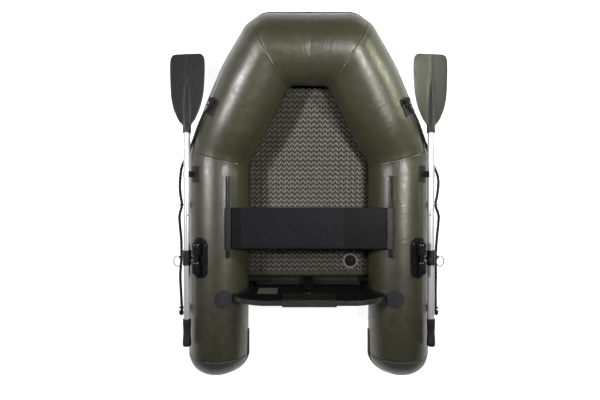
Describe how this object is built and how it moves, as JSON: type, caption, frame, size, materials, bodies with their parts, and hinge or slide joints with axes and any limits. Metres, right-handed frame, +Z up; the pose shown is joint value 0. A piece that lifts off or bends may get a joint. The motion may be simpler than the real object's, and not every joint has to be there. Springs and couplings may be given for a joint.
{
  "type": "inflatable boat",
  "caption": "Small inflatable tender with raised V-shaped bow, air deck, hard transom with motor saddle, sliding seat, swivelling rowlocks and two-piece oars stowed along the tubes.",
  "frame": {"origin": "centre of the boat's footprint on the ground", "axes": "+X to starboard, +Y to the bow, +Z up"},
  "size_m": [1.3646, 1.7782, 0.474],
  "materials": {
    "hull_fabric": "satin coated fabric",
    "tail_fabric": "satin coated fabric",
    "deck_fabric": "matt coated fabric with a woven chevron",
    "bottom_fabric": "matt coated fabric",
    "strake_rubber": "matt",
    "apron_fabric": "satin coated fabric",
    "black_plastic": "moulded satin",
    "gloss_black_plastic": "moulded gloss",
    "blade_plastic": "moulded satin",
    "coated_board": "black textured coating",
    "blank_label": "satin",
    "shaft_aluminium": "satin anodised",
    "steel_wire": "drawn wire",
    "rope": "braided"
  },
  "bodies": {
    "hull": {"bow_panel": "hull_fabric", "port_shoulder_panel": "hull_fabric", "starboard_shoulder_panel": "hull_fabric", "port_side_panel": "hull_fabric", "starboard_side_panel": "hull_fabric", "port_tail_cone": "tail_fabric", "starboard_tail_cone": "tail_fabric", "bow_baffle": "hull_fabric", "rub_strake": "strake_rubber", "bottom_skin": "bottom_fabric", "air_deck": "deck_fabric", "deck_valve_body": "black_plastic", "port_valve_body": "black_plastic", "starboard_valve_body": "black_plastic", "transom_board": "coated_board", "port_transom_holder": "strake_rubber", "starboard_transom_holder": "strake_rubber", "port_transom_patch": "strake_rubber", "starboard_transom_patch": "strake_rubber", "transom_apron": "apron_fabric", "motor_saddle": "black_plastic", "drain_housing": "black_plastic", "blank_plate": "blank_label", "port_seat_rail": "strake_rubber", "starboard_seat_rail": "strake_rubber", "port_rowlock_base": "gloss_black_plastic", "starboard_rowlock_base": "gloss_black_plastic", "port_oar_clip": "strake_rubber", "starboard_oar_clip": "strake_rubber", "port_front_anchor": "strake_rubber", "starboard_front_anchor": "strake_rubber", "port_middle_anchor": "strake_rubber", "starboard_middle_anchor": "strake_rubber", "port_aft_anchor": "strake_rubber", "starboard_aft_anchor": "strake_rubber", "port_grab_line": "rope", "starboard_grab_line": "rope"},
    "seat": {"seat_board": "coated_board", "port_seat_slider": "black_plastic", "starboard_seat_slider": "black_plastic"},
    "deck_cap": {"deck_valve_cap": "black_plastic"},
    "port_cap": {"port_valve_cap": "black_plastic"},
    "starboard_cap": {"starboard_valve_cap": "black_plastic"},
    "plug": {"drain_plug": "black_plastic"},
    "port_pin": {"port_rowlock_pin": "gloss_black_plastic"},
    "starboard_pin": {"starboard_rowlock_pin": "gloss_black_plastic"},
    "port_ring": {"port_retaining_ring": "steel_wire"},
    "starboard_ring": {"starboard_retaining_ring": "steel_wire"},
    "port_oar": {"port_oar_collar": "strake_rubber", "port_shaft_upper": "shaft_aluminium", "port_shaft_lower": "shaft_aluminium", "port_blade": "blade_plastic", "port_grip": "black_plastic"},
    "starboard_oar": {"starboard_oar_collar": "strake_rubber", "starboard_shaft_upper": "shaft_aluminium", "starboard_shaft_lower": "shaft_aluminium", "starboard_blade": "blade_plastic", "starboard_grip": "black_plastic"},
    "port_button": {"port_snap_button": "steel_wire"},
    "starboard_button": {"starboard_snap_button": "steel_wire"}
  },
  "joints": [
    {"name": "seat_slide", "type": "slide", "parent": "hull", "child": "seat", "axis": [0, 1, 0], "range_m": [-0.035, 0.14]},
    {"name": "starboard_rowlock_tilt", "type": "hinge", "parent": "hull", "child": "starboard_pin", "pos_m": [0.543, -0.277, 0.29696], "axis": [0, -1, 0], "range_deg": [0, 110]},
    {"name": "port_rowlock_tilt", "type": "hinge", "parent": "hull", "child": "port_pin", "pos_m": [-0.543, -0.277, 0.29696], "axis": [0, 1, 0], "range_deg": [0, 110]},
    {"name": "starboard_oar_swing", "type": "hinge", "parent": "starboard_pin", "child": "starboard_oar", "pos_m": [0.59496, -0.277, 0.26696], "axis": [0.866, 0, -0.5], "range_deg": [0, 1.5]},
    {"name": "port_oar_swing", "type": "hinge", "parent": "port_pin", "child": "port_oar", "pos_m": [-0.59496, -0.277, 0.26696], "axis": [0.866, 0, 0.5], "range_deg": [0, 1.5]},
    {"name": "starboard_ring_swing", "type": "hinge", "parent": "starboard_pin", "child": "starboard_ring", "pos_m": [0.63427, -0.28099, 0.24426], "axis": [-0.6124, -0.7071, 0.3536], "range_deg": [-20, 60]},
    {"name": "port_ring_swing", "type": "hinge", "parent": "port_pin", "child": "port_ring", "pos_m": [-0.63427, -0.28099, 0.24426], "axis": [-0.6124, 0.7071, -0.3536], "range_deg": [-20, 60]},
    {"name": "starboard_button_press", "type": "slide", "parent": "starboard_oar", "child": "starboard_button", "axis": [0.4848, 0, -0.8746], "range_m": [0, 0.003], "stiffness_N_per_m": 700},
    {"name": "port_button_press", "type": "slide", "parent": "port_oar", "child": "port_button", "axis": [-0.4848, 0, -0.8746], "range_m": [0, 0.003], "stiffness_N_per_m": 700},
    {"name": "deck_cap_turn", "type": "hinge", "parent": "hull", "child": "deck_cap", "pos_m": [0.222, -0.316, 0.087], "axis": [0, 0, 1], "range_deg": [0, 90]},
    {"name": "starboard_cap_turn", "type": "hinge", "parent": "hull", "child": "starboard_cap", "pos_m": [0.33577, -0.62, 0.06311], "axis": [-0.8192, 0, -0.5736], "range_deg": [0, 90]},
    {"name": "port_cap_turn", "type": "hinge", "parent": "hull", "child": "port_cap", "pos_m": [-0.33577, -0.62, 0.06311], "axis": [0.8192, 0, -0.5736], "range_deg": [0, 90]},
    {"name": "drain_plug_turn", "type": "hinge", "parent": "hull", "child": "plug", "pos_m": [0, -0.4625, 0.075], "axis": [0, 1, 0], "range_deg": [0, 90]}
  ]
}
